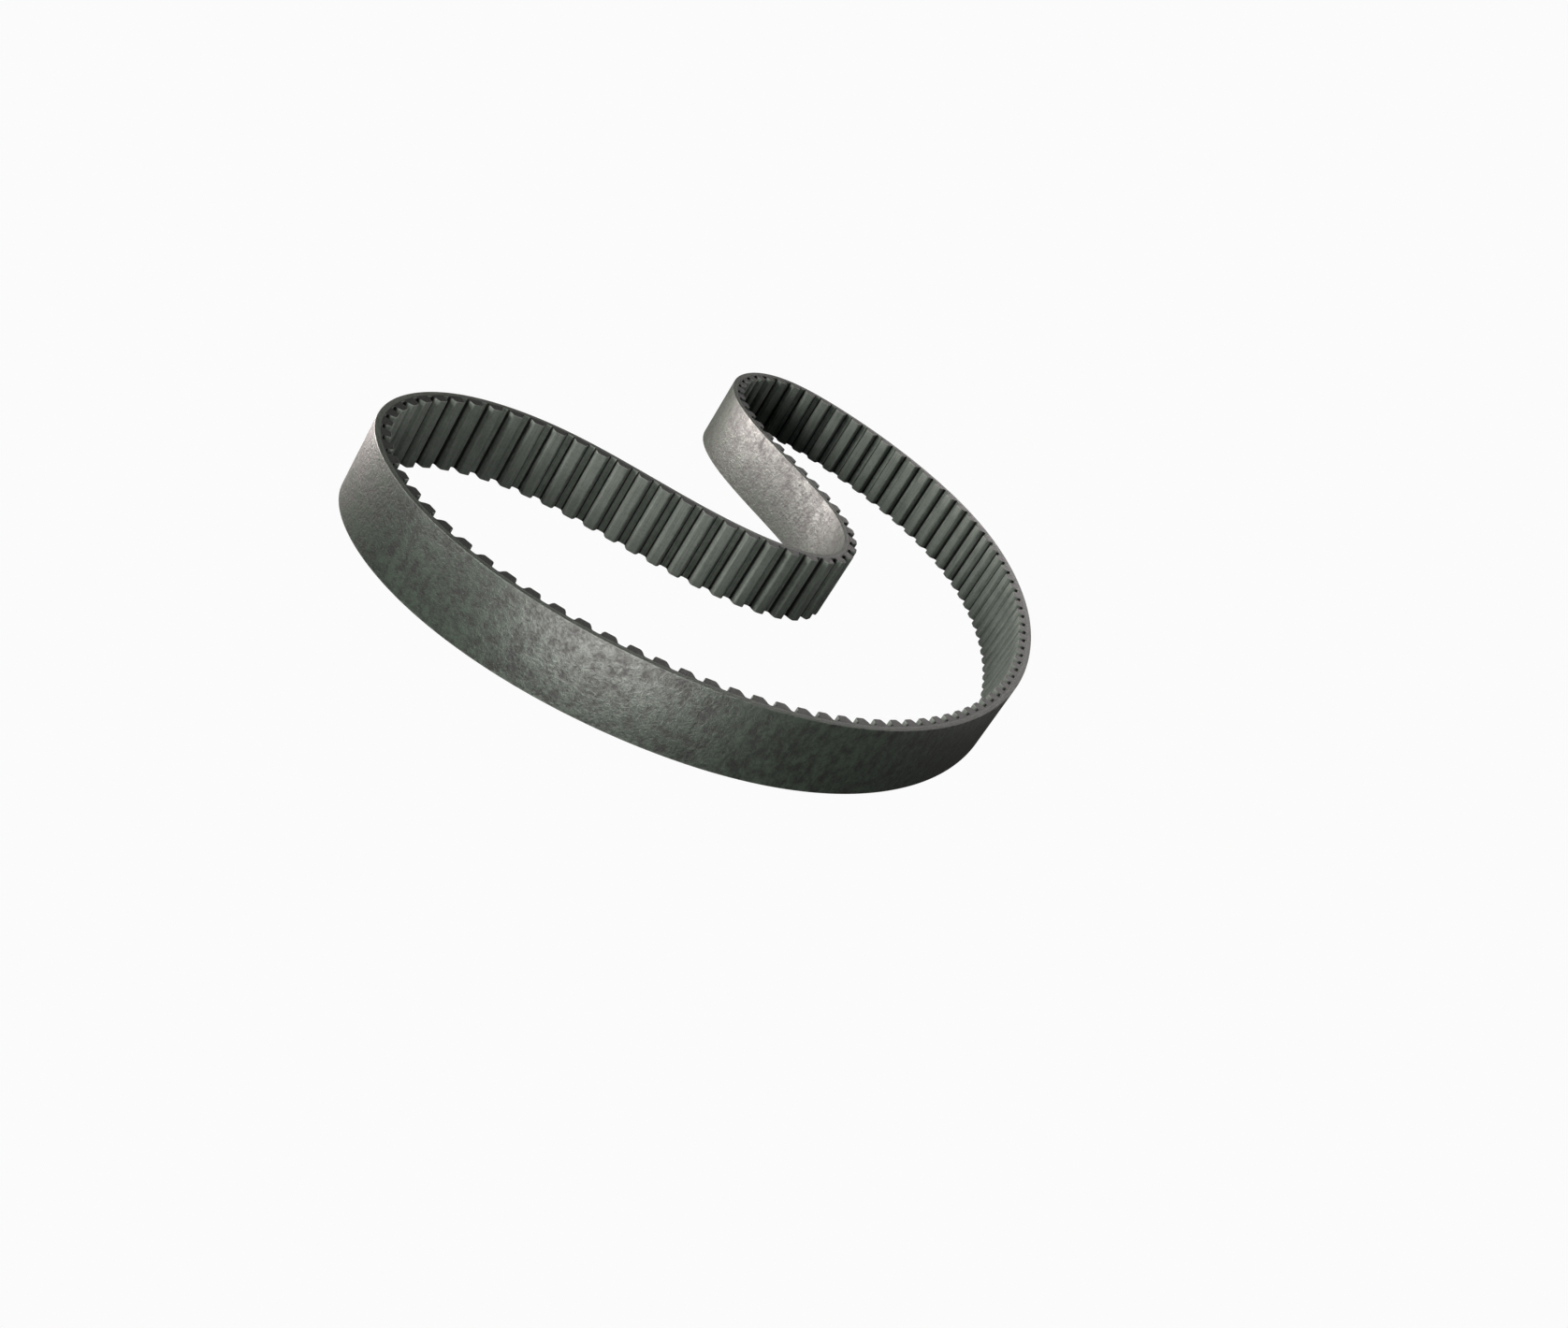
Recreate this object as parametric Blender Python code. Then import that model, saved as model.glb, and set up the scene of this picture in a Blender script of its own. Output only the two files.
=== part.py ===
"""Endless timing belt, standing on its edge in a loose kidney-shaped loop.

120 teeth of 8 mm pitch, 25 mm wide, with round-flanked teeth on the inside of the loop.
The belt is laid up in layers round its pitch line, which is the line of the cord centres:
backing rubber outside it, two tension cords wound along it, and tooth rubber under a
fabric facing inside it.

Sizes are in millimetres and are turned into metres when a mesh is made.
The loop lies in the XY plane, centred on its own outline, and the belt's width is along Z.
"""

import math

import bmesh
import bpy
import numpy as np

MM = 0.001

# Belt size
TOOTH_COUNT = 120
PITCH = 8.0
BELT_WIDTH = 25.0

# Layers, outwards and inwards from the pitch line
CORD_DIAMETER = 0.60
BACKING_THICKNESS = 1.234
LAND_FILM = 0.126
FACING_THICKNESS = 0.20
BOND_GAP = 0.03

# Tooth
TOOTH_HEIGHT = 3.05
TOOTH_ROOT_WIDTH = 5.20
TOOTH_FLANK_RADIUS = 5.20
TOOTH_SHOULDER_DROP = 0.70
TOOTH_SHOULDER_INSET = 0.45

# Cord winding: the S and Z cords lie side by side and advance together
CORD_TURNS = 3
CORD_EDGE_MARGIN = 1.2
CORD_SIDES = 4

# The pitch line's way points, in order, the teeth being on the right-hand side.
# The smooth closed curve through them is scaled to the belt's exact length.
WAY_POINTS = [
    (-96, -68), (-71, -46), (-8, -31), (27, -5), (25, 31), (-4, 61), (-42, 103), (-29, 156),
    (-3, 163), (63, 138), (90, 96), (104, 25), (91, -63), (30, -143), (-66, -156), (-101, -121),
]
CURVE_SAMPLES = 4800


def remove_default_objects():
    for thing in list(bpy.data.objects):
        bpy.data.objects.remove(thing, do_unlink=True)


def closed_curve(points):
    """Sample the smooth closed cubic curve through the points, as an array of XY rows."""
    points = np.array(points, float)
    count = len(points)
    chords = np.linalg.norm(np.roll(points, -1, axis=0) - points, axis=1)
    before = np.roll(chords, 1)
    matrix = np.zeros((count, count))
    for row in range(count):
        matrix[row, row - 1] = chords[row]
        matrix[row, row] = 2.0 * (before[row] + chords[row])
        matrix[row, (row + 1) % count] = before[row]
    rise = (np.roll(points, -1, axis=0) - points) / chords[:, None]
    rise_before = np.roll(rise, 1, axis=0)
    slopes = np.linalg.solve(matrix, 3.0 * (chords[:, None] * rise_before + before[:, None] * rise))
    knots = np.concatenate([[0.0], np.cumsum(chords)])
    rows = []
    for place in np.linspace(0.0, knots[-1], CURVE_SAMPLES, endpoint=False):
        here = min(np.searchsorted(knots, place, side="right") - 1, count - 1)
        after = (here + 1) % count
        span = chords[here]
        part = (place - knots[here]) / span
        rows.append(
            points[here] * (1 - part) ** 2 * (1 + 2 * part)
            + points[after] * part ** 2 * (3 - 2 * part)
            + slopes[here] * span * part * (1 - part) ** 2
            - slopes[after] * span * part ** 2 * (1 - part)
        )
    return np.array(rows)


class PitchLine:
    """The belt's pitch line as a chain with one link for each tooth.

    A place is a distance along the belt in mm. Each link runs from the middle of one land
    to the middle of the next, and every layer bends only where the links meet, so the
    layers stay parallel.
    """

    def __init__(self):
        curve = closed_curve(WAY_POINTS)
        looped = np.vstack([curve, curve[:1]])
        steps = np.linalg.norm(np.diff(looped, axis=0), axis=1)
        scale = TOOTH_COUNT * PITCH / steps.sum()
        travelled = np.concatenate([[0.0], np.cumsum(steps)]) * scale
        marks = np.arange(TOOTH_COUNT) * PITCH
        joints = np.column_stack(
            [np.interp(marks, travelled, looped[:, axis] * scale) for axis in (0, 1)]
        )
        along = np.roll(joints, -1, axis=0) - np.roll(joints, 1, axis=0)
        along /= np.linalg.norm(along, axis=1)[:, None]
        inward = np.column_stack([along[:, 1], -along[:, 0]])
        outline = joints - inward * back_face_offset()
        self.joints = joints - (outline.min(axis=0) + outline.max(axis=0)) / 2.0
        self.inward = inward

    def point(self, place, offset):
        """XY of the point at a place, offset towards the teeth."""
        link, part = divmod(place / PITCH, 1.0)
        first = int(link) % TOOTH_COUNT
        second = (first + 1) % TOOTH_COUNT
        start = self.joints[first] + self.inward[first] * offset
        end = self.joints[second] + self.inward[second] * offset
        return start * (1.0 - part) + end * part


def back_face_offset():
    return CORD_DIAMETER / 2.0 + BOND_GAP + BACKING_THICKNESS


def film_offset():
    """Where the tooth rubber starts, just inside the cords."""
    return CORD_DIAMETER / 2.0 + BOND_GAP


def land_offset(inset):
    """The land's distance from the pitch line, inset below the facing's own surface."""
    return film_offset() + LAND_FILM + BOND_GAP + FACING_THICKNESS - inset


def tooth_outline(inset):
    """One tooth as (place, offset) pairs from its middle, inset below the facing's surface."""
    radius = TOOTH_FLANK_RADIUS - inset
    centre = TOOTH_FLANK_RADIUS - TOOTH_ROOT_WIDTH / 2.0
    crest = TOOTH_HEIGHT
    shoulder = crest - TOOTH_SHOULDER_DROP
    land = land_offset(inset)

    def flank(height):
        return math.sqrt(radius ** 2 - height ** 2) - centre

    half = [
        (flank(0.0), land),
        (flank(shoulder), land + shoulder),
        (flank(crest) - TOOTH_SHOULDER_INSET, land + crest),
    ]
    left = [(-place, offset) for place, offset in half]
    return left + half[::-1]


def tooth_surface(line, inset):
    """For each link, the XY points across its land and tooth, joint to joint."""
    links = []
    outline = tooth_outline(inset)
    for tooth in range(TOOTH_COUNT):
        middle = (tooth + 0.5) * PITCH
        points = [line.point(tooth * PITCH, land_offset(inset))]
        points += [line.point(middle + place, offset) for place, offset in outline]
        links.append(points)
    return links


def plain_surface(line, offset):
    """For each link, the single XY point at its first joint."""
    return [[line.point(tooth * PITCH, offset)] for tooth in range(TOOTH_COUNT)]


def material(name, colour, roughness):
    made = bpy.data.materials.new(name)
    made.use_nodes = True
    shader = made.node_tree.nodes["Principled BSDF"]
    shader.inputs["Base Color"].default_value = (*colour, 1.0)
    shader.inputs["Roughness"].default_value = roughness
    shader.inputs["Metallic"].default_value = 0.0
    return made


def finish(name, mesh_data, look):
    """Turn a bmesh into a named object with its material."""
    bmesh.ops.recalc_face_normals(mesh_data, faces=mesh_data.faces)
    mesh = bpy.data.meshes.new(name)
    mesh_data.to_mesh(mesh)
    mesh_data.free()
    mesh.materials.append(look)
    mesh.shade_smooth()
    mesh.set_sharp_from_angle(angle=math.radians(25.0))
    thing = bpy.data.objects.new(name, mesh)
    bpy.context.collection.objects.link(thing)


def ring(name, outer, inner, look):
    """A closed band of the belt's width between two surfaces given link by link.

    The band's lower edge is laid link by link, as flat faces that share their corners, and
    is then extruded to the belt's width.
    """
    mesh_data = bmesh.new()

    def corners(surface):
        return [[mesh_data.verts.new((x * MM, y * MM, 0.0)) for x, y in link] for link in surface]

    outer = corners(outer)
    inner = corners(inner)
    for here in range(TOOTH_COUNT):
        after = (here + 1) % TOOTH_COUNT
        lay_link_edge(mesh_data, outer[here] + [outer[after][0]], inner[here] + [inner[after][0]])
    lower = mesh_data.faces[:]
    raised = bmesh.ops.extrude_face_region(mesh_data, geom=lower, use_keep_orig=True)["geom"]
    top = [part for part in raised if isinstance(part, bmesh.types.BMVert)]
    bmesh.ops.translate(mesh_data, verts=top, vec=(0.0, 0.0, BELT_WIDTH * MM))
    finish(name, mesh_data, look)


def lay_link_edge(mesh_data, outer, inner):
    """Fill one link's edge: corner to corner where both sides match, else in one face."""
    if len(outer) == len(inner):
        for here in range(len(outer) - 1):
            mesh_data.faces.new([outer[here], outer[here + 1], inner[here + 1], inner[here]])
    else:
        mesh_data.faces.new(outer + inner[::-1])


def backing(line, look):
    outer = plain_surface(line, -back_face_offset())
    inner = plain_surface(line, -film_offset())
    ring("backing", outer, inner, look)


def tooth_rubber(line, look):
    outer = plain_surface(line, film_offset())
    inner = tooth_surface(line, FACING_THICKNESS + BOND_GAP)
    ring("tooth_rubber", outer, inner, look)


def tooth_facing(line, look):
    outer = tooth_surface(line, FACING_THICKNESS)
    inner = tooth_surface(line, 0.0)
    ring("tooth_facing", outer, inner, look)


def tension_cord(name, line, phase, look):
    """One cord wound round the belt, from near one edge to near the other.

    The phase is its place in the pair, as a share of one turn's advance.
    """
    mesh_data = bmesh.new()
    radius = CORD_DIAMETER / 2.0
    usable = BELT_WIDTH - 2.0 * CORD_EDGE_MARGIN
    advance = usable / (CORD_TURNS + 0.5)
    stations = CORD_TURNS * TOOTH_COUNT + 1
    rings = []
    for station in range(stations):
        height = CORD_EDGE_MARGIN + advance * (phase + station / TOOTH_COUNT)
        section = []
        for side in range(CORD_SIDES):
            angle = 2.0 * math.pi * side / CORD_SIDES
            x, y = line.point(station * PITCH, radius * math.cos(angle))
            z = height + radius * math.sin(angle)
            section.append(mesh_data.verts.new((x * MM, y * MM, z * MM)))
        rings.append(section)
    mesh_data.faces.new(rings[0])
    mesh_data.faces.new(rings[-1])
    for first, second in zip(rings, rings[1:]):
        for side in range(CORD_SIDES):
            after = (side + 1) % CORD_SIDES
            mesh_data.faces.new([first[side], first[after], second[after], second[side]])
    finish(name, mesh_data, look)


def build():
    remove_default_objects()
    line = PitchLine()
    cord_look = material("glass_cord", (0.62, 0.60, 0.50), 0.55)
    backing(line, material("backing_rubber", (0.060, 0.066, 0.060), 0.75))
    tension_cord("tension_cord_s", line, 0.0, cord_look)
    tension_cord("tension_cord_z", line, 0.5, cord_look)
    tooth_rubber(line, material("tooth_rubber", (0.035, 0.039, 0.035), 0.80))
    tooth_facing(line, material("nylon_facing", (0.050, 0.060, 0.052), 0.70))


build()
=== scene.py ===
"""The looks of an endless timing belt that stands on its edge in a loose kidney-shaped loop.

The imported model's layers are plain and bend only once a tooth. Here the same layers follow the
smooth pitch line, with the teeth's true round flanks and fillets, the full cord winding, and
ground rubber, knife-cut edges and woven facing as materials.

Lengths are in metres, and angles in degrees.
"""

import math

import bpy
import numpy as np
from mathutils import Matrix, Vector


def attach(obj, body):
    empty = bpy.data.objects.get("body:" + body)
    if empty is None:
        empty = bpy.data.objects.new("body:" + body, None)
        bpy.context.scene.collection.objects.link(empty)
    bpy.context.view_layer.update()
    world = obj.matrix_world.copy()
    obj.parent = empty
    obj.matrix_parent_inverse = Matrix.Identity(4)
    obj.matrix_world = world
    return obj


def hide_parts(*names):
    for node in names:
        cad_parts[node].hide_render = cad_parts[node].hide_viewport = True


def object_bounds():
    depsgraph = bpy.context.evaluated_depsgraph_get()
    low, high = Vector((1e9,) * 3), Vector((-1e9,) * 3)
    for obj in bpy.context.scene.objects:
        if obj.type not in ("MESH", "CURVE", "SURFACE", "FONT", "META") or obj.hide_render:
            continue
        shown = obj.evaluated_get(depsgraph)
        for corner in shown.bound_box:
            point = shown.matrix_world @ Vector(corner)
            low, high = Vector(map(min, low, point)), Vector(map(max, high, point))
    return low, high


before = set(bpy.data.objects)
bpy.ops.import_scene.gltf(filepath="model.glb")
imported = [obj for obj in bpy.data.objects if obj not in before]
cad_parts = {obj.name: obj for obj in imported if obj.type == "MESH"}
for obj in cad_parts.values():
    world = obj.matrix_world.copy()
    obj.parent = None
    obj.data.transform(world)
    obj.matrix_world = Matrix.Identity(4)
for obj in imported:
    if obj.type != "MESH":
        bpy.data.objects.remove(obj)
cad_low, cad_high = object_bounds()

MM = 0.001

# Belt size
TOOTH_COUNT = 120
PITCH = 8.0 * MM
BELT_LENGTH = TOOTH_COUNT * PITCH
BELT_WIDTH = cad_high.z - cad_low.z

# Layers, outwards and inwards from the pitch line
CORD_RADIUS = 0.30 * MM
BOND_GAP = 0.03 * MM
BACKING_THICKNESS = 1.234 * MM
FACING_THICKNESS = 0.20 * MM
LAND_OFFSET = 0.686 * MM
CHANNEL_OFFSET = CORD_RADIUS + BOND_GAP
BACK_OFFSET = CHANNEL_OFFSET + BACKING_THICKNESS
EDGE_ROUNDING = 0.16 * MM

# Tooth
TOOTH_HEIGHT = 3.05 * MM
TOOTH_ROOT_WIDTH = 5.20 * MM
FLANK_RADIUS = 5.20 * MM
CREST_FILLET = 0.80 * MM
ROOT_FILLET = 0.80 * MM

# Cord winding: the S and Z cords lie side by side and advance together
CORD_TURNS = 15
CORD_EDGE_MARGIN = 1.2 * MM
CORD_SIDES = 6
CORD_STEPS_PER_TOOTH = 3
CORD_TWIST_LENGTH = 6.0 * MM
CORD_YARNS = 3
LIP_WIDTH = 0.8 * MM

# The pitch line's way points in mm, in order, the teeth being on the right-hand side
WAY_POINTS = [
    (-96, -68), (-71, -46), (-8, -31), (27, -5), (25, 31), (-4, 61), (-42, 103), (-29, 156),
    (-3, 163), (63, 138), (90, 96), (104, 25), (91, -63), (30, -143), (-66, -156), (-101, -121),
]
CURVE_SAMPLES = 9600

# How finely the surfaces are divided
BACK_STEPS_PER_TOOTH = 12
LAND_STEPS = 3
FILLET_STEPS = 4
FLANK_STEPS = 6
CREST_STEPS = 2
ROUNDING_STEPS = 3
LEVEL_TOLERANCE = 1e-6 * MM

# Facing cloth: a 2/1 twill, a whole number of its repeats being stretched over each tooth
THREAD = 0.36 * MM
THREADS_PER_TOOTH = 33
TWILL_REPEAT = 3
CLOTH_LENGTH = TOOTH_COUNT * THREADS_PER_TOOTH * THREAD

# Colours, as linear light
BACK_DARK = (0.004, 0.007, 0.004)
BACK_LIGHT = (0.040, 0.058, 0.043)
EDGE_DARK = (0.022, 0.029, 0.023)
EDGE_LIGHT = (0.090, 0.112, 0.092)
MOULDED_DARK = (0.004, 0.006, 0.005)
MOULDED_LIGHT = (0.018, 0.026, 0.020)
CLOTH_DARK = (0.048, 0.064, 0.050)
CLOTH_LIGHT = (0.175, 0.212, 0.182)
# The cloth's worn edges, and its crests lightened partly by polish and partly as a painted
# highlight
CLOTH_WORN_AND_HIGHLIT = (0.230, 0.262, 0.235)
# Painted shade for the teeth's roots and lower flanks
ROOT_PAINTED_SHADE = (0.001, 0.002, 0.001)
CORD_DARK = (0.30, 0.27, 0.19)
CORD_LIGHT = (0.62, 0.58, 0.46)

# Gloss: specular levels, and roughness from the roughest patches to the smoothest
BACK_SPECULAR = 0.92
CUT_SPECULAR = 0.40
CLOTH_SPECULAR = 0.35
BACK_ROUGHNESS = (0.67, 0.37)
CUT_ROUGHNESS = (0.75, 0.55)
CLOTH_ROUGHNESS = (0.83, 0.68)
CORD_ROUGHNESS = (0.60, 0.40)
CUT_CLOTH_ROUGHNESS = 0.80
ROOT_ADDED_ROUGHNESS = 0.20
CLOTH_SHEEN = 0.05
CLOTH_SHEEN_ROUGHNESS = 0.5

# Pattern sizes: about how large each pattern's features are
CLOUD_SIZE = 9.0 * MM
MOTTLE_SIZE = 3.0 * MM
GRAIN_SIZE = 1.0 * MM
MARK_SIZE = 1.6 * MM
WEAR_SIZE = 1.5 * MM
CUT_GRAIN_SIZE = 0.40 * MM
EDGE_STREAK_SIZE = 0.22 * MM
MOULDED_STREAK_SIZE = 0.25 * MM
BLOTCH_SIZE = 5.0 * MM
FILLING_SIZE = 0.90 * MM
CLOTH_STREAK_SIZE = 0.60 * MM
FRAY_SIZE = 0.50 * MM
FIBRE_SIZE = 0.15 * MM

# Pattern squeeze: a streak's width as a share of its length
MARK_SQUEEZE = 0.04
EDGE_STREAK_SQUEEZE = 0.04
MOULDED_STREAK_SQUEEZE = 0.05
CLOTH_STREAK_SQUEEZE = 0.03

# Relief: the depth of each pattern's bumps
MARK_DEPTH = 0.05 * MM
MOTTLE_DEPTH = 0.16 * MM
GRAIN_DEPTH = 0.18 * MM
CUT_DEPTH = 0.05 * MM
WEAVE_DEPTH = 0.05 * MM
FILLING_DEPTH = 0.10 * MM
THREAD_END_DEPTH = 0.12 * MM
YARN_DEPTH = 0.06 * MM

# Contrast: the pattern values that come out as the dark and the light colour
BACK_CONTRAST = (0.43, 0.57)
CLOTH_CONTRAST = (0.34, 0.66)
CUT_CONTRAST = (0.75, 1.25)
CUT_CLOTH_CONTRAST = (0.30, 0.80)

# How far wear reaches from the belt's edges, and the cords' line from the pitch line
BACK_WEAR_REACH = 0.50 * MM
CLOTH_WEAR_REACH = 0.40 * MM
CORD_LINE_REACH = 0.25 * MM

# Where the crest's polish and painted highlight, and the root's painted shade, fade in or out, as
# shares of a tooth's height
CREST_START = (0.70, 0.90)
ROOT_SHADE_START = (0.01, 0.05)
ROOT_SHADE_END = (0.25, 0.50)

# Studio
STUDIO_WHITE = (0.965, 0.965, 0.965, 1.0)
BLACK = (0.0, 0.0, 0.0, 1.0)
STAGE_REACH = 5.0
BACKDROP_INSET = 0.001 * STAGE_REACH
WORLD_STRENGTH = 0.025
WARM_WHITE = (1.0, 0.93, 0.93)
WARMER_WHITE = (1.0, 0.89, 0.87)

# Lights: azimuth, elevation, distance, size, power in watts and colour, aimed at the belt's middle
LIGHTS = {
    "key": (-139.0, 18.0, 1.30, 0.40, 16.5, WARM_WHITE),
    "front": (-81.0, 4.0, 0.33, 0.17, 0.90, WARM_WHITE),
    "left": (172.0, 2.5, 0.38, 0.06, 3.20, WARMER_WHITE),
    "back": (80.0, 22.0, 0.90, 0.25, 3.20, WARM_WHITE),
    "right": (28.0, 10.0, 0.60, 0.20, 0.55, WARM_WHITE),
}

# Camera, at the photo's viewing angle
CAMERA_AIM = (33.888 * MM, -48.253 * MM, 0.0)
CAMERA_DISTANCE = 603.97 * MM
CAMERA_ELEVATION = 22.734
CAMERA_ROLL = 33.065
CAMERA_LENS = 42.25
CAMERA_NEAR = 10.0 * MM


# ---- The belt's path -------------------------------------------------------------------------


def closed_curve(points):
    """Sample the smooth closed cubic curve through the points, as an array of XY rows."""
    points = np.array(points, float)
    count = len(points)
    chords = np.linalg.norm(np.roll(points, -1, axis=0) - points, axis=1)
    before = np.roll(chords, 1)
    matrix = np.zeros((count, count))
    for row in range(count):
        matrix[row, row - 1] = chords[row]
        matrix[row, row] = 2.0 * (before[row] + chords[row])
        matrix[row, (row + 1) % count] = before[row]
    rise = (np.roll(points, -1, axis=0) - points) / chords[:, None]
    rise_before = np.roll(rise, 1, axis=0)
    slopes = np.linalg.solve(matrix, 3.0 * (chords[:, None] * rise_before + before[:, None] * rise))
    knots = np.concatenate([[0.0], np.cumsum(chords)])
    places = np.linspace(0.0, knots[-1], CURVE_SAMPLES, endpoint=False)
    here = np.searchsorted(knots, places, side="right") - 1
    after = (here + 1) % count
    span = chords[here][:, None]
    part = (places - knots[here])[:, None] / span
    return (
        points[here] * (1 - part) ** 2 * (1 + 2 * part)
        + points[after] * part ** 2 * (3 - 2 * part)
        + slopes[here] * span * part * (1 - part) ** 2
        - slopes[after] * span * part ** 2 * (1 - part)
    )


class PitchLine:
    """The line of the cord centres, read by distance along the belt."""

    def __init__(self):
        curve = closed_curve(WAY_POINTS)
        looped = np.vstack([curve, curve[:1]])
        steps = np.linalg.norm(np.diff(looped, axis=0), axis=1)
        scale = BELT_LENGTH / steps.sum()
        self.rows = curve * scale
        self.distances = np.concatenate([[0.0], np.cumsum(steps)])[:-1] * scale
        outline = self.points(self.distances, -BACK_OFFSET)
        box_middle = np.array((cad_low + cad_high).xy) / 2.0
        self.rows += box_middle - (outline.min(axis=0) + outline.max(axis=0)) / 2.0

    def middle(self, places):
        """XY on the pitch line at each place."""
        axes = [
            np.interp(places, self.distances, self.rows[:, axis], period=BELT_LENGTH)
            for axis in (0, 1)
        ]
        return np.column_stack(axes)

    def along(self, places):
        """The direction of travel at each place."""
        reach = 0.25 * MM
        step = self.middle(places + reach) - self.middle(places - reach)
        return step / np.linalg.norm(step, axis=1)[:, None]

    def points(self, places, offsets):
        """XY at each place, offset towards the teeth."""
        travel = self.along(places)
        inward = np.column_stack([travel[:, 1], -travel[:, 0]])
        return self.middle(places) + inward * np.reshape(offsets, (-1, 1))


# ---- Surfaces --------------------------------------------------------------------------------


def arc(centre, radius, start, end, steps):
    """Points of an arc between two angles in radians, without its last point."""
    angles = np.linspace(start, end, steps, endpoint=False)
    places = centre[0] + radius * np.cos(angles)
    heights = centre[1] + radius * np.sin(angles)
    return np.column_stack([places, heights])


def tooth_outline(inset):
    """Half of one tooth as (place, height) rows, from the land's middle to the tooth's.

    The crest and root fillets touch the round flank, and all three keep their centres when the
    outline is inset below the facing's surface.
    """
    flank_centre = (TOOTH_ROOT_WIDTH / 2.0 - FLANK_RADIUS, 0.0)
    root_reach = math.sqrt((FLANK_RADIUS + ROOT_FILLET) ** 2 - ROOT_FILLET ** 2)
    root_centre = (flank_centre[0] + root_reach, ROOT_FILLET)
    root_angle = math.atan2(ROOT_FILLET, root_reach)
    crest_rise = TOOTH_HEIGHT - CREST_FILLET
    crest_reach = math.sqrt((FLANK_RADIUS - CREST_FILLET) ** 2 - crest_rise ** 2)
    crest_centre = (flank_centre[0] + crest_reach, crest_rise)
    crest_angle = math.atan2(crest_rise, crest_reach)
    land = np.linspace(PITCH / 2.0, root_centre[0], LAND_STEPS, endpoint=False)
    crest = np.linspace(crest_centre[0], 0.0, CREST_STEPS, endpoint=False)
    return np.vstack([
        np.column_stack([land, np.full(LAND_STEPS, -inset)]),
        arc(root_centre, ROOT_FILLET + inset, 1.5 * math.pi, math.pi + root_angle, FILLET_STEPS),
        arc(flank_centre, FLANK_RADIUS - inset, root_angle, crest_angle, FLANK_STEPS),
        arc(crest_centre, CREST_FILLET - inset, crest_angle, 0.5 * math.pi, FILLET_STEPS),
        np.column_stack([crest, np.full(CREST_STEPS, TOOTH_HEIGHT - inset)]),
        [(0.0, TOOTH_HEIGHT - inset)],
    ])


def whole_tooth(inset):
    """One tooth as (place, height) rows, from one land's middle up to the next one's."""
    half = tooth_outline(inset)
    mirrored = half[-2:0:-1]
    return np.vstack([half * (-1.0, 1.0), mirrored])


class Surface:
    """A sheet of the belt seen from above: XY, offset and distance along, by station."""

    def __init__(self, points, offsets, along):
        self.points = points
        self.offsets = offsets
        self.along = along


def plain_surface(line, offset, places):
    return Surface(line.points(places, offset), np.full(len(places), offset), places)


def tooth_surface(line, inset):
    """The toothed surface, whose lands bend with the belt and whose crests stay straight."""
    outline = whole_tooth(inset)
    middles = np.repeat((np.arange(TOOTH_COUNT) + 0.5) * PITCH, len(outline))
    places, heights = np.tile(outline, (TOOTH_COUNT, 1)).T
    offsets = LAND_OFFSET + heights
    bent = line.points(middles + places, offsets)
    straight = line.points(middles, offsets) + line.along(middles) * places[:, None]
    stiffness = np.clip(heights / TOOTH_HEIGHT, 0.0, 1.0)[:, None]
    return Surface(bent * (1.0 - stiffness) + straight * stiffness, offsets, cloth_distance())


def cloth_distance():
    """Distance along the facing cloth at each station, the cloth's own stretch taken out."""
    outline = whole_tooth(0.0)
    closed = np.vstack([outline, outline[:1] + (PITCH, 0.0)])
    steps = np.linalg.norm(np.diff(closed, axis=0), axis=1)
    share = np.concatenate([[0.0], np.cumsum(steps)])[:-1] / steps.sum()
    teeth = np.repeat(np.arange(TOOTH_COUNT), len(outline))
    return (teeth + np.tile(share, TOOTH_COUNT)) * THREADS_PER_TOOTH * THREAD


def tooth_places():
    """The place of each station of the toothed surface on the pitch line."""
    outline = whole_tooth(0.0)
    middles = np.repeat((np.arange(TOOTH_COUNT) + 0.5) * PITCH, len(outline))
    return middles + np.tile(outline[:, 0], TOOTH_COUNT)


# ---- Pieces ----------------------------------------------------------------------------------


def rounding(surface_at):
    """Columns down the rounded lower edge of a face, whose surface is found by its depth."""
    columns = []
    for step in range(ROUNDING_STEPS + 1):
        angle = 0.5 * math.pi * step / ROUNDING_STEPS
        depth = EDGE_ROUNDING * (1.0 - math.cos(angle))
        height = EDGE_ROUNDING * (1.0 - math.sin(angle))
        columns.append((surface_at(depth), height))
    return columns


def add_band(name, columns, looks, faces, length):
    """A closed band round the loop, its section running down the back and up the toothed side.

    Each column is (surface, height), and each number in faces is the look of the strip between
    a column and the next one, the last strip closing the section.
    """
    stations = len(columns[0][0].points)
    corners = np.concatenate([
        np.column_stack([surface.points, np.full(stations, height)]) for surface, height in columns
    ])
    here = np.arange(stations)
    after = (here + 1) % stations
    quads = []
    maps = []
    for column in range(len(columns)):
        second = (column + 1) % len(columns)
        starts, ends = column * stations, second * stations
        quads.append(np.column_stack([starts + here, starts + after, ends + after, ends + here]))
        maps.append(strip_map(columns[column], columns[second], length))
    mesh = bpy.data.meshes.new(name)
    mesh.from_pydata(corners.tolist(), [], np.concatenate(quads).tolist())
    mesh.uv_layers.new(name="belt")
    mesh.uv_layers["belt"].uv.foreach_set("vector", np.concatenate(maps).astype(np.float32).ravel())
    add_height(mesh, np.concatenate([surface.offsets for surface, height in columns]))
    for look in looks:
        mesh.materials.append(look)
    mesh.polygons.foreach_set("material_index", np.repeat(faces, stations).astype(np.int32))
    return finish_piece(name, mesh)


def strip_map(first_column, second_column, length):
    """Map one strip by distance along the belt and place across it.

    The place across is the height above the belt's lower edge, or the offset from the pitch
    line on a strip that is level.
    """
    first, low = first_column
    second, high = second_column
    if abs(low - high) < LEVEL_TOLERANCE:
        first_across = first.offsets
        second_across = second.offsets
    else:
        first_across = np.full(len(first.along), low)
        second_across = np.full(len(second.along), high)
    along_after = np.append(first.along[1:], length)
    return np.stack([
        np.column_stack([first.along, first_across]),
        np.column_stack([along_after, np.roll(first_across, -1)]),
        np.column_stack([along_after, np.roll(second_across, -1)]),
        np.column_stack([first.along, second_across]),
    ], axis=1)


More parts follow.
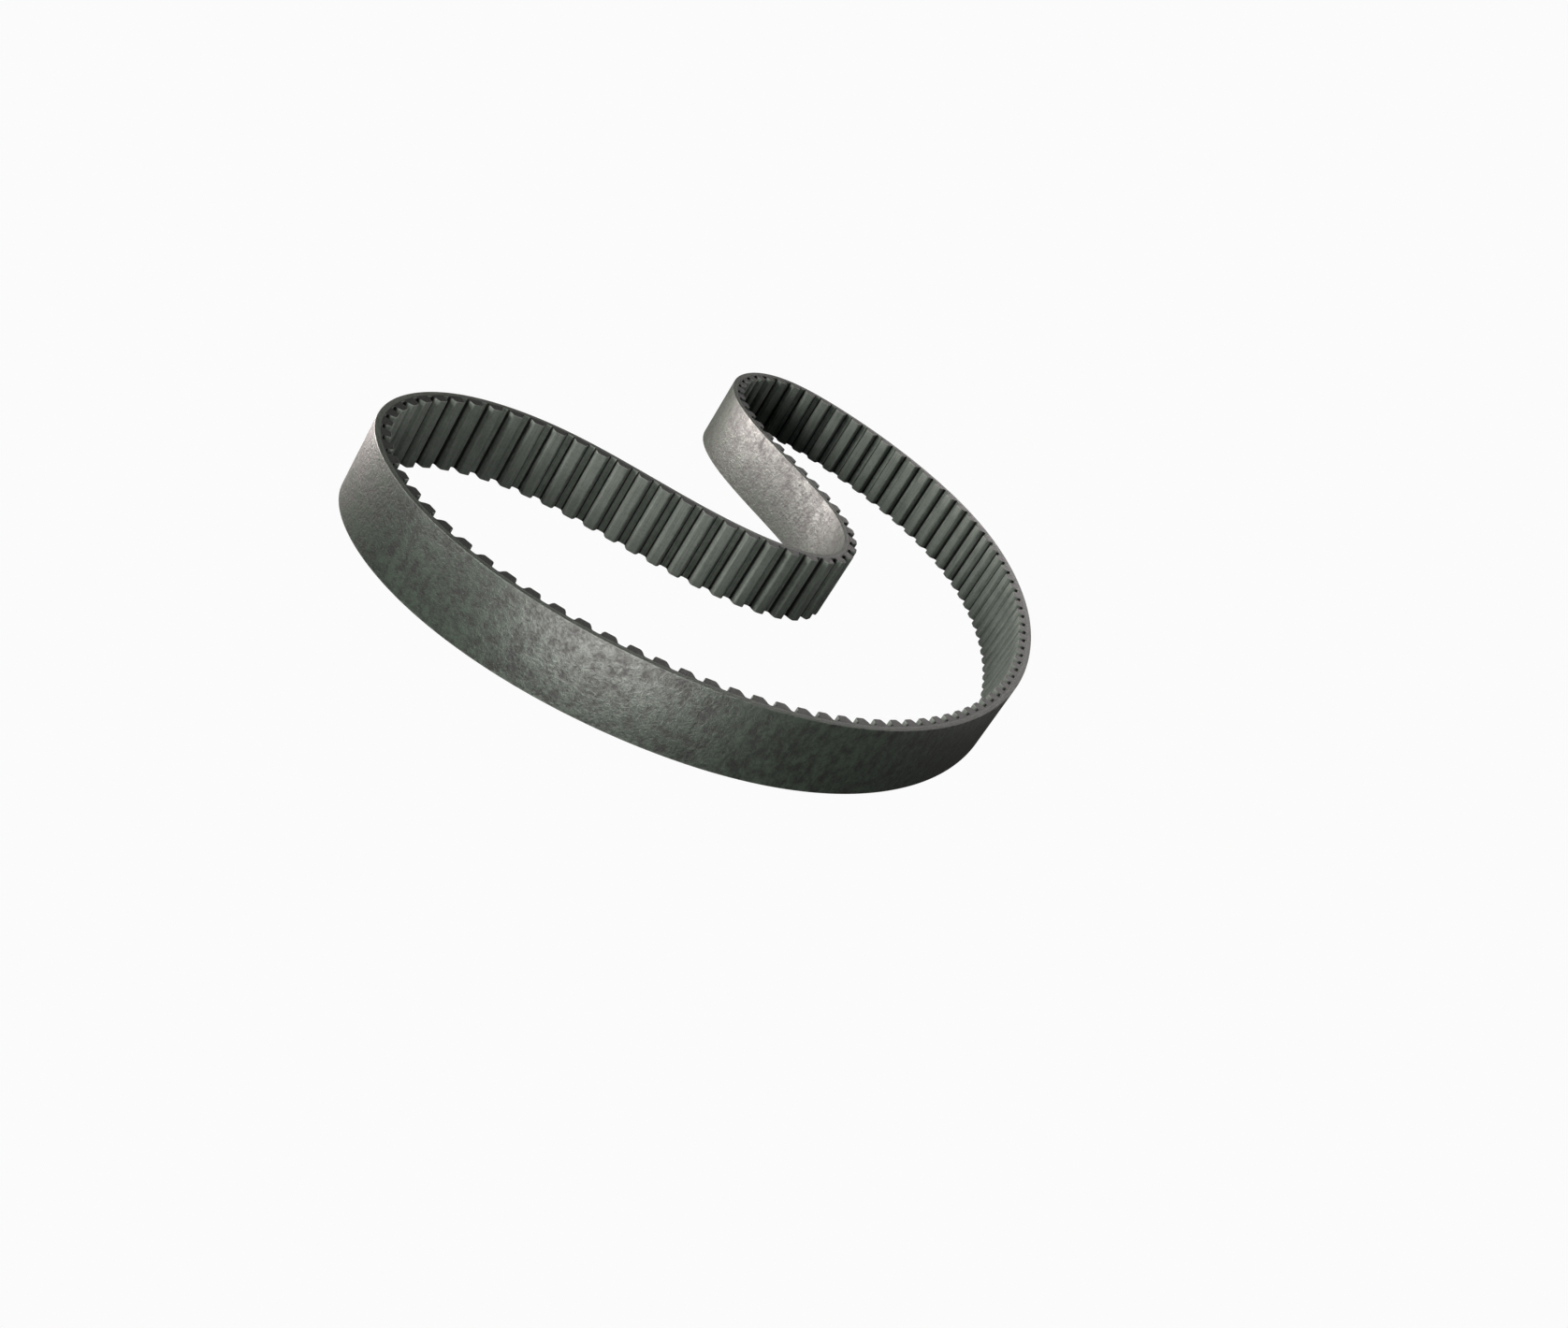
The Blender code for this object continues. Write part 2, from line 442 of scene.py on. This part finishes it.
def add_height(mesh, offsets):
    """Keep each vertex's height on the tooth, from 0 on the land to 1 on the crest."""
    heights = np.clip((offsets - LAND_OFFSET) / TOOTH_HEIGHT, 0.0, 1.0)
    kept = mesh.attributes.new("tooth_height", "FLOAT", "POINT")
    kept.data.foreach_set("value", heights.astype(np.float32))


def finish_piece(name, mesh):
    mesh.shade_smooth()
    mesh.set_sharp_from_angle(angle=math.radians(35.0))
    piece = bpy.data.objects.new(name, mesh)
    bpy.context.scene.collection.objects.link(piece)
    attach(piece, "root")
    return piece


def backing_band(line, looks):
    """The ground back, closed at both edges by a lip that reaches over the cords."""
    places = np.arange(TOOTH_COUNT * BACK_STEPS_PER_TOOTH) * PITCH / BACK_STEPS_PER_TOOTH

    def surface(offset):
        return plain_surface(line, offset, places)

    channel = surface(-CHANNEL_OFFSET)
    lip = surface(CORD_RADIUS)
    rounded = rounding(lambda depth: surface(depth - BACK_OFFSET))
    outside = [(face, BELT_WIDTH - height) for face, height in rounded[::-1]] + rounded
    inside = [
        (lip, 0.0), (lip, LIP_WIDTH), (channel, LIP_WIDTH),
        (channel, BELT_WIDTH - LIP_WIDTH), (lip, BELT_WIDTH - LIP_WIDTH), (lip, BELT_WIDTH),
    ]
    back, edge = 0, 1
    faces = [back] * (len(outside) - 1) + [edge] * (len(inside) + 1)
    piece = add_band("backing_band", outside + inside, looks, faces, BELT_LENGTH)
    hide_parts("backing")


def tooth_rubber_band(line, look):
    """The moulded rubber between the cords and the facing."""
    outer = plain_surface(line, CHANNEL_OFFSET, tooth_places())
    outer.along = cloth_distance()
    inner = tooth_surface(line, FACING_THICKNESS + BOND_GAP)
    columns = [(outer, BELT_WIDTH), (outer, 0.0), (inner, 0.0), (inner, BELT_WIDTH)]
    faces = [0] * len(columns)
    piece = add_band("tooth_rubber_band", columns, [look], faces, CLOTH_LENGTH)
    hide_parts("tooth_rubber")


def facing_skin(line, looks):
    """The woven skin over the teeth, with its cut edges slightly rounded."""
    bonded = tooth_surface(line, FACING_THICKNESS)
    rounded = rounding(lambda depth: tooth_surface(line, depth))
    underside = [(bonded, BELT_WIDTH), (bonded, 0.0)]
    wearing = rounded[::-1] + [(face, BELT_WIDTH - height) for face, height in rounded]
    cloth, edge = 0, 1
    faces = [edge] * len(underside) + [cloth] * (len(wearing) - 1) + [edge]
    piece = add_band("tooth_facing_skin", underside + wearing, looks, faces, CLOTH_LENGTH)
    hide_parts("tooth_facing")


def wound_cord(name, node, line, phase, look):
    """One cord wound round the belt, its phase being a share of one turn's advance."""
    steps_per_turn = TOOTH_COUNT * CORD_STEPS_PER_TOOTH
    count = CORD_TURNS * steps_per_turn + 1
    turns = np.arange(count) / steps_per_turn
    advance = (BELT_WIDTH - 2.0 * CORD_EDGE_MARGIN) / (CORD_TURNS + 0.5)
    heights = CORD_EDGE_MARGIN + advance * (turns + phase)
    sides = []
    for side in range(CORD_SIDES):
        angle = 2.0 * math.pi * side / CORD_SIDES
        rows = line.points(turns * BELT_LENGTH, CORD_RADIUS * math.cos(angle))
        sides.append(np.column_stack([rows, heights + CORD_RADIUS * math.sin(angle)]))
    corners = np.stack(sides, axis=1).reshape(-1, 3)
    first = np.arange(count - 1)[:, None] * CORD_SIDES
    side = np.arange(CORD_SIDES)[None, :]
    after = (side + 1) % CORD_SIDES
    quads = np.stack(
        [first + side, first + side + CORD_SIDES, first + after + CORD_SIDES, first + after], axis=2
    ).reshape(-1, 4)
    last = len(corners) - 1
    caps = [list(range(CORD_SIDES)), list(range(last, last - CORD_SIDES, -1))]
    mesh = bpy.data.meshes.new(name)
    mesh.from_pydata(corners.tolist(), [], quads.tolist() + caps)
    add_cord_map(mesh, count)
    mesh.materials.append(look)
    piece = finish_piece(name, mesh)
    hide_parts(node)


def add_cord_map(mesh, count):
    """Map the cord by distance along it and share of a turn round it."""
    along = np.repeat(np.arange(count - 1) * PITCH / CORD_STEPS_PER_TOOTH, CORD_SIDES)
    step = PITCH / CORD_STEPS_PER_TOOTH
    around = np.tile(np.arange(CORD_SIDES) / CORD_SIDES, count - 1)
    share = 1.0 / CORD_SIDES
    walls = np.stack([
        np.column_stack([along, around]),
        np.column_stack([along + step, around]),
        np.column_stack([along + step, around + share]),
        np.column_stack([along, around + share]),
    ], axis=1).reshape(-1, 2)
    caps = np.zeros((2 * CORD_SIDES, 2))
    layer = mesh.uv_layers.new(name="belt")
    layer.uv.foreach_set("vector", np.vstack([walls, caps]).astype(np.float32).ravel())


# ---- Materials -------------------------------------------------------------------------------


class Look:
    """A material under construction, with short forms of the nodes that it uses."""

    def __init__(self, name):
        self.material = bpy.data.materials.new(name)
        self.material.use_nodes = True
        self.tree = self.material.node_tree
        self.shader = self.tree.nodes["Principled BSDF"]

    def node(self, kind, inputs=(), **settings):
        made = self.tree.nodes.new(kind)
        for name, value in settings.items():
            setattr(made, name, value)
        for name, value in dict(inputs).items():
            self.put(made.inputs[name], value)
        return made

    def put(self, socket, value):
        """Link an output to the socket, or set its value."""
        if isinstance(value, bpy.types.NodeSocket):
            self.tree.links.new(value, socket)
        else:
            socket.default_value = value

    def shade(self, **inputs):
        """Fill the shader's sockets, named with _ for each space."""
        for name, value in inputs.items():
            self.put(self.shader.inputs[name.replace("_", " ")], value)

    def object_place(self):
        return self.node("ShaderNodeTexCoord").outputs["Object"]

    def belt_map(self):
        """Distance along the belt, and place across it, as two outputs."""
        here = self.node("ShaderNodeUVMap", uv_map="belt").outputs["UV"]
        parts = self.node("ShaderNodeSeparateXYZ", {"Vector": here})
        return parts.outputs["X"], parts.outputs["Y"]

    def tooth_height(self):
        """The height on the tooth, from 0 on the land to 1 on the crest."""
        found = self.node("ShaderNodeAttribute", attribute_name="tooth_height")
        return found.outputs["Fac"]

    def vector(self, x, y, z=0.0):
        return self.node("ShaderNodeCombineXYZ", {"X": x, "Y": y, "Z": z}).outputs["Vector"]

    def noise(self, place, size, detail=2.0, roughness=0.5):
        """Noise from 0 to 1 whose largest features are about that size."""
        inputs = {"Vector": place, "Scale": 1.0 / size, "Detail": detail, "Roughness": roughness}
        return self.node("ShaderNodeTexNoise", inputs).outputs["Fac"]

    def maths(self, operation, first, second=0.0):
        made = self.node("ShaderNodeMath", {0: first, 1: second}, operation=operation)
        return made.outputs["Value"]

    def waves(self, place):
        """Rounded waves from 0 to 1, one for each whole number of the place."""
        swing = self.maths("SINE", self.maths("MULTIPLY", place, math.pi))
        return self.maths("ABSOLUTE", swing)

    def blend(self, *parts):
        """The sum of some outputs, each given as (output, share)."""
        total = 0.0
        for output, share in parts:
            total = self.maths("ADD", self.maths("MULTIPLY", output, share), total)
        return total

    def remap(self, value, low, high, to_low=0.0, to_high=1.0):
        """The value moved from one range to another, and kept inside it."""
        inputs = {
            "Value": value, "From Min": low, "From Max": high, "To Min": to_low, "To Max": to_high,
        }
        return self.node("ShaderNodeMapRange", inputs).outputs["Result"]

    def colour(self, share, first, second):
        """A colour between two, each an output or an (r, g, b) value."""
        made = self.node("ShaderNodeMix", data_type="RGBA")
        sockets = [s for s in made.inputs if s.type == "RGBA"]
        self.put(made.inputs["Factor"], share)
        for socket, value in zip(sockets, (first, second)):
            self.put(socket, value if isinstance(value, bpy.types.NodeSocket) else (*value, 1.0))
        return next(s for s in made.outputs if s.type == "RGBA")

    def bump(self, height, depth, below=None):
        """A normal for that height pattern, full scale being depth, over another normal."""
        inputs = {"Height": height, "Strength": 1.0, "Distance": depth}
        if below is not None:
            inputs["Normal"] = below
        return self.node("ShaderNodeBump", inputs).outputs["Normal"]


def edge_wear(look, across, reach):
    """1 along the belt's two edges, falling unevenly to 0 at about that reach from them."""
    from_edge = look.maths("MINIMUM", across, look.maths("SUBTRACT", BELT_WIDTH, across))
    raggedness = look.noise(look.object_place(), WEAR_SIZE, 4.0)
    worn_reach = look.remap(raggedness, 0.3, 0.7, 0.15 * reach, 1.6 * reach)
    share = look.maths("DIVIDE", from_edge, worn_reach)
    return look.remap(share, 0.3, 1.0, 1.0, 0.0)


def ground_rubber():
    """The back: rubber ground to thickness, mottled, with faint marks across the belt."""
    look = Look("ground_rubber")
    place = look.object_place()
    along, across = look.belt_map()
    clouds = look.noise(place, CLOUD_SIZE, 2.0)
    mottle = look.noise(place, MOTTLE_SIZE, 3.0, 0.6)
    grain = look.noise(place, GRAIN_SIZE, 3.0, 0.75)
    squeezed = look.vector(along, look.maths("MULTIPLY", across, MARK_SQUEEZE))
    marks = look.noise(squeezed, MARK_SIZE, 3.0)
    tone = look.blend((clouds, 0.15), (mottle, 0.35), (grain, 0.35), (marks, 0.15))
    bare = look.colour(look.remap(tone, *BACK_CONTRAST), BACK_DARK, BACK_LIGHT)
    worn = look.maths("MULTIPLY", edge_wear(look, across, BACK_WEAR_REACH), 0.5)
    coarse = look.bump(marks, MARK_DEPTH, look.bump(mottle, MOTTLE_DEPTH))
    look.shade(
        Base_Color=look.colour(worn, bare, EDGE_LIGHT),
        Roughness=look.remap(tone, 0.38, 0.62, *BACK_ROUGHNESS),
        Specular_IOR_Level=BACK_SPECULAR,
        Normal=look.bump(grain, GRAIN_DEPTH, coarse),
    )
    return look.material


def knife_cut(look, dark, light, streak_size, squeeze):
    """Give the look a knife-cut rubber's gloss and relief, and return its streaky colour."""
    along, across = look.belt_map()
    squeezed = look.vector(look.maths("MULTIPLY", along, squeeze), across)
    streaks = look.noise(squeezed, streak_size, 3.0)
    grain = look.noise(look.object_place(), CUT_GRAIN_SIZE, 3.0, 0.7)
    look.shade(
        Roughness=look.remap(grain, 0.3, 0.7, *CUT_ROUGHNESS),
        Specular_IOR_Level=CUT_SPECULAR,
        Normal=look.bump(grain, CUT_DEPTH, look.bump(streaks, CUT_DEPTH)),
    )
    shade = look.remap(look.maths("ADD", streaks, grain), *CUT_CONTRAST)
    return look.colour(shade, dark, light)


def cut_rubber():
    """The knife-cut edges: paler, with fine streaks along the belt and a line at the cords."""
    look = Look("cut_rubber")
    bare = knife_cut(look, EDGE_DARK, EDGE_LIGHT, EDGE_STREAK_SIZE, EDGE_STREAK_SQUEEZE)
    _, across = look.belt_map()
    from_cords = look.maths("ABSOLUTE", across)
    cord_line = look.remap(from_cords, 0.0, CORD_LINE_REACH, 0.5, 0.0)
    look.shade(Base_Color=look.colour(cord_line, bare, EDGE_LIGHT))
    return look.material


def moulded_rubber():
    """The tooth rubber, which shows only at the cut edges."""
    look = Look("moulded_rubber")
    streaky = knife_cut(
        look, MOULDED_DARK, MOULDED_LIGHT, MOULDED_STREAK_SIZE, MOULDED_STREAK_SQUEEZE
    )
    look.shade(Base_Color=streaky)
    return look.material


def twill(look, along, across):
    """The height of a 2/1 twill, thread by thread, from 0 in the gaps to 1 on top."""
    warp = look.maths("DIVIDE", along, THREAD)
    weft = look.maths("DIVIDE", across, THREAD)
    cell = look.maths("ADD", look.maths("FLOOR", warp), look.maths("FLOOR", weft))
    repeat = look.maths("FRACT", look.maths("DIVIDE", cell, TWILL_REPEAT))
    over = look.maths("GREATER_THAN", repeat, 0.5)
    warp_share = look.maths("MULTIPLY", look.waves(warp), over)
    weft_share = look.maths("MULTIPLY", look.waves(weft), look.maths("SUBTRACT", 1.0, over))
    return look.maths("ADD", warp_share, weft_share)


def woven_facing():
    """The nylon facing: rubber-filled twill, polished and lightened as a painted highlight on the
    crests, with painted shade in the roots.
    """
    look = Look("woven_facing")
    place = look.object_place()
    along, across = look.belt_map()
    weave = twill(look, along, across)
    squeezed = look.vector(along, look.maths("MULTIPLY", across, CLOTH_STREAK_SQUEEZE))
    streaks = look.noise(squeezed, CLOTH_STREAK_SIZE, 2.0)
    blotches = look.noise(place, BLOTCH_SIZE, 2.0)
    filling = look.noise(place, FILLING_SIZE, 3.0, 0.6)
    tone = look.blend((weave, 0.15), (filling, 0.25), (blotches, 0.20), (streaks, 0.40))
    bare = look.colour(look.remap(tone, *CLOTH_CONTRAST), CLOTH_DARK, CLOTH_LIGHT)
    height = look.tooth_height()
    # Crests lightened: partly polish from wear, partly a painted highlight
    crest = look.remap(height, *CREST_START)
    # Painted shade: the root fillets and lower flanks are darkened towards black, and made rougher
    above_land = look.remap(height, *ROOT_SHADE_START)
    below_crest = look.remap(height, *ROOT_SHADE_END, 1.0, 0.0)
    root = look.maths("MULTIPLY", above_land, below_crest)
    # worn holds the worn edges together with the crests' polish and painted highlight
    worn = look.blend((crest, 0.4), (edge_wear(look, across, CLOTH_WEAR_REACH), 1.0))
    rubbed_and_highlit = look.colour(look.maths("MULTIPLY", worn, 0.45), bare, CLOTH_WORN_AND_HIGHLIT)
    roughness = look.remap(filling, 0.35, 0.65, *CLOTH_ROUGHNESS)
    look.shade(
        Base_Color=look.colour(root, rubbed_and_highlit, ROOT_PAINTED_SHADE),
        Roughness=look.blend((roughness, 1.0), (root, ROOT_ADDED_ROUGHNESS)),
        Specular_IOR_Level=CLOTH_SPECULAR,
        Sheen_Weight=CLOTH_SHEEN,
        Sheen_Roughness=CLOTH_SHEEN_ROUGHNESS,
        Normal=look.bump(weave, WEAVE_DEPTH, look.bump(filling, FILLING_DEPTH)),
    )
    return look.material


def cut_cloth():
    """The facing's own cut edge: the ends of its threads, pale in dark rubber."""
    look = Look("cut_cloth")
    along, _ = look.belt_map()
    threads = look.waves(look.maths("DIVIDE", along, THREAD))
    frays = look.noise(look.object_place(), FRAY_SIZE, 3.0, 0.7)
    tone = look.blend((threads, 0.5), (frays, 0.5))
    shade = look.remap(tone, *CUT_CLOTH_CONTRAST)
    look.shade(
        Base_Color=look.colour(shade, CLOTH_DARK, EDGE_LIGHT),
        Roughness=CUT_CLOTH_ROUGHNESS,
        Specular_IOR_Level=CLOTH_SPECULAR,
        Normal=look.bump(tone, THREAD_END_DEPTH),
    )
    return look.material


def glass_cord():
    """Twisted glass yarns: bright and dark bands that wind round the cord."""
    look = Look("glass_cord")
    along, around = look.belt_map()
    turns = look.maths("ADD", look.maths("DIVIDE", along, CORD_TWIST_LENGTH), around)
    yarns = look.waves(look.maths("MULTIPLY", turns, CORD_YARNS))
    fibres = look.noise(look.object_place(), FIBRE_SIZE, 2.0)
    shade = look.maths("MULTIPLY", look.maths("ADD", yarns, fibres), 0.6)
    look.shade(
        Base_Color=look.colour(shade, CORD_DARK, CORD_LIGHT),
        Roughness=look.remap(fibres, 0.3, 0.7, *CORD_ROUGHNESS),
        Normal=look.bump(yarns, YARN_DEPTH),
    )
    return look.material


# ---- Stage -----------------------------------------------------------------------------------


def pale(name):
    """A pale studio white that glows evenly, so that no light or shadow shows on it."""
    look = Look(name)
    look.shade(
        Base_Color=BLACK,
        Roughness=1.0,
        Specular_IOR_Level=0.0,
        Emission_Color=STUDIO_WHITE,
        Emission_Strength=1.0,
    )
    return look.material


def add_stage(name, corners, faces, look, casts_shadow):
    """A piece of the studio, which is seen but throws no light on the belt."""
    mesh = bpy.data.meshes.new(name)
    mesh.from_pydata(corners, [], faces)
    mesh.materials.append(look)
    piece = bpy.data.objects.new(name, mesh)
    bpy.context.scene.collection.objects.link(piece)
    piece.visible_diffuse = False
    piece.visible_glossy = False
    piece.visible_shadow = casts_shadow


def square(reach, height):
    """The corners of a level square round the belt."""
    corners = [(-reach, -reach), (reach, -reach), (reach, reach), (-reach, reach)]
    return [(x, y, height) for x, y in corners]


def floor():
    """A wide square floor at the belt's foot."""
    add_stage("floor", square(STAGE_REACH, 0.0), [(0, 1, 2, 3)], pale("pale_floor"), True)


def backdrop():
    """Four walls and a lid of the floor's colour, so that no horizon shows."""
    reach = STAGE_REACH - BACKDROP_INSET
    corners = square(reach, -BACKDROP_INSET) + square(reach, STAGE_REACH)
    walls = [(here, (here + 1) % 4, (here + 1) % 4 + 4, here + 4) for here in range(4)]
    add_stage("backdrop", corners, walls + [(4, 5, 6, 7)], pale("pale_backdrop"), False)


def area_light(name, azimuth, elevation, distance, size, power, colour):
    """A square soft light turned towards the belt's middle."""
    turn, rise = math.radians(azimuth), math.radians(elevation)
    level = math.cos(rise)
    away = Vector((level * math.cos(turn), level * math.sin(turn), math.sin(rise)))
    data = bpy.data.lights.new(name, "AREA")
    data.size = size
    data.energy = power
    data.color = colour
    light = bpy.data.objects.new(name, data)
    light.location = away * distance
    light.rotation_mode = "QUATERNION"
    light.rotation_quaternion = away.to_track_quat("Z", "Y")
    light.visible_camera = False
    bpy.context.scene.collection.objects.link(light)


def lights():
    for name, settings in LIGHTS.items():
        area_light(name, *settings)
    world = bpy.data.worlds.new("room")
    world.use_nodes = True
    background = world.node_tree.nodes["Background"]
    background.inputs["Color"].default_value = STUDIO_WHITE
    background.inputs["Strength"].default_value = WORLD_STRENGTH
    bpy.context.scene.world = world


def camera():
    data = bpy.data.cameras.new("camera")
    data.lens = CAMERA_LENS
    data.clip_start = CAMERA_NEAR
    made = bpy.data.objects.new("camera", data)
    elevation = math.radians(CAMERA_ELEVATION)
    back = Vector((0.0, -math.cos(elevation), math.sin(elevation)))
    place = Vector(CAMERA_AIM) + back * CAMERA_DISTANCE
    tilt = Matrix.Rotation(0.5 * math.pi - elevation, 4, "X")
    roll = Matrix.Rotation(math.radians(CAMERA_ROLL), 4, "Z")
    made.matrix_world = Matrix.Translation(place) @ tilt @ roll
    bpy.context.scene.collection.objects.link(made)
    bpy.context.scene.camera = made
    bpy.context.scene.view_settings.view_transform = "Standard"


camera()
floor()
backdrop()
lights()
pitch_line = PitchLine()
edge_look = cut_rubber()
cord_look = glass_cord()
backing_band(pitch_line, [ground_rubber(), edge_look])
tooth_rubber_band(pitch_line, moulded_rubber())
facing_skin(pitch_line, [woven_facing(), cut_cloth()])
wound_cord("tension_cord_s_winding", "tension_cord_s", pitch_line, 0.0, cord_look)
wound_cord("tension_cord_z_winding", "tension_cord_z", pitch_line, 0.5, cord_look)
